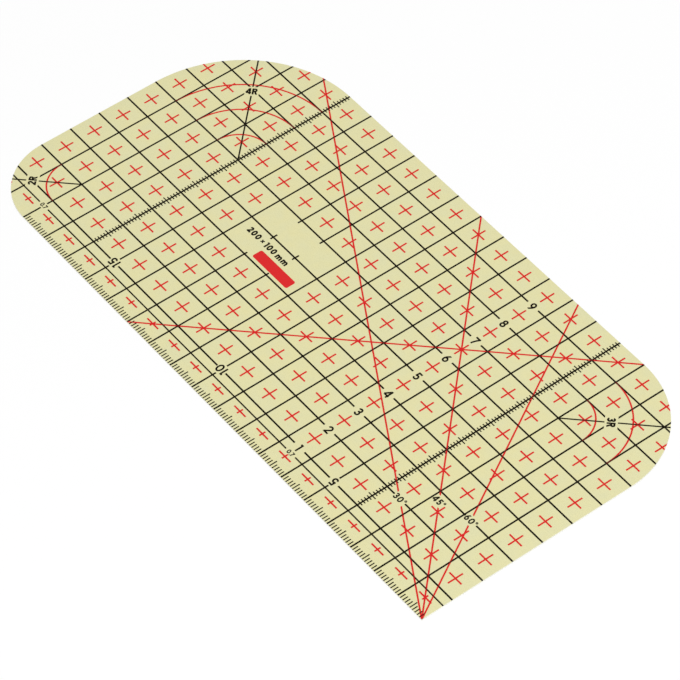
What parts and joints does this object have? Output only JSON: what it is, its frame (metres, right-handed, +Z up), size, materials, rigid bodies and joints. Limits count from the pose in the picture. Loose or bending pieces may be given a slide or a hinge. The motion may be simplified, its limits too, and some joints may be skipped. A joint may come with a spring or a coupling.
{
  "type": "hot hem ruler",
  "caption": "Thin heat-proof sheet with printed centimetre grid, angle lines and corner curves, for pressing measured hems, mitred corners and rounded corners.",
  "frame": {"origin": "middle of the sheet's underside", "axes": "+X along the long side towards the square corner, +Y across the sheet away from the scale edge, +Z up out of the printed side"},
  "size_m": [0.2, 0.1, 0.0005],
  "materials": {
    "sheet": "matte, very finely mottled, pale straw yellow",
    "black_ink": "matte screen-printed ink",
    "red_ink": "matte screen-printed ink, slightly see-through over black"
  },
  "bodies": {
    "root": {"base_sheet": "sheet", "allowance_1_1": "black_ink", "allowance_1_2": "black_ink", "allowance_2_1": "black_ink", "allowance_2_2": "black_ink", "angle_30_1": "black_ink", "angle_30_2": "black_ink", "angle_30_3": "black_ink", "angle_45_1": "black_ink", "angle_45_2": "black_ink", "angle_45_3": "black_ink", "angle_60_1": "black_ink", "angle_60_2": "black_ink", "angle_60_3": "black_ink", "edge_10_1": "black_ink", "edge_10_2": "black_ink", "edge_15_1": "black_ink", "edge_15_2": "black_ink", "edge_5": "black_ink", "grid_main": "black_ink", "grid_square_end": "black_ink", "line_end_1": "black_ink", "line_end_2": "black_ink", "line_end_3": "black_ink", "line_end_4": "black_ink", "note_1": "black_ink", "note_2": "black_ink", "note_3": "black_ink", "note_4": "black_ink", "note_5": "black_ink", "note_6": "black_ink", "note_7": "black_ink", "note_8": "black_ink", "note_9": "black_ink", "radius_large_1": "black_ink", "radius_large_2": "black_ink", "radius_middle_1": "black_ink", "radius_middle_2": "black_ink", "radius_small_1": "black_ink", "radius_small_2": "black_ink", "width_1": "black_ink", "width_2": "black_ink", "width_3": "black_ink", "width_4": "black_ink", "width_5": "black_ink", "width_6": "black_ink", "width_7": "black_ink", "width_8": "black_ink", "width_9": "black_ink", "angle_lines_corner": "red_ink", "angle_lines_main": "red_ink", "arc_large_1": "red_ink", "arc_large_2": "red_ink", "arc_large_3": "red_ink", "arc_middle_1": "red_ink", "arc_middle_2": "red_ink", "arc_small_1": "red_ink", "panel_bar": "red_ink"}
  },
  "joints": []
}
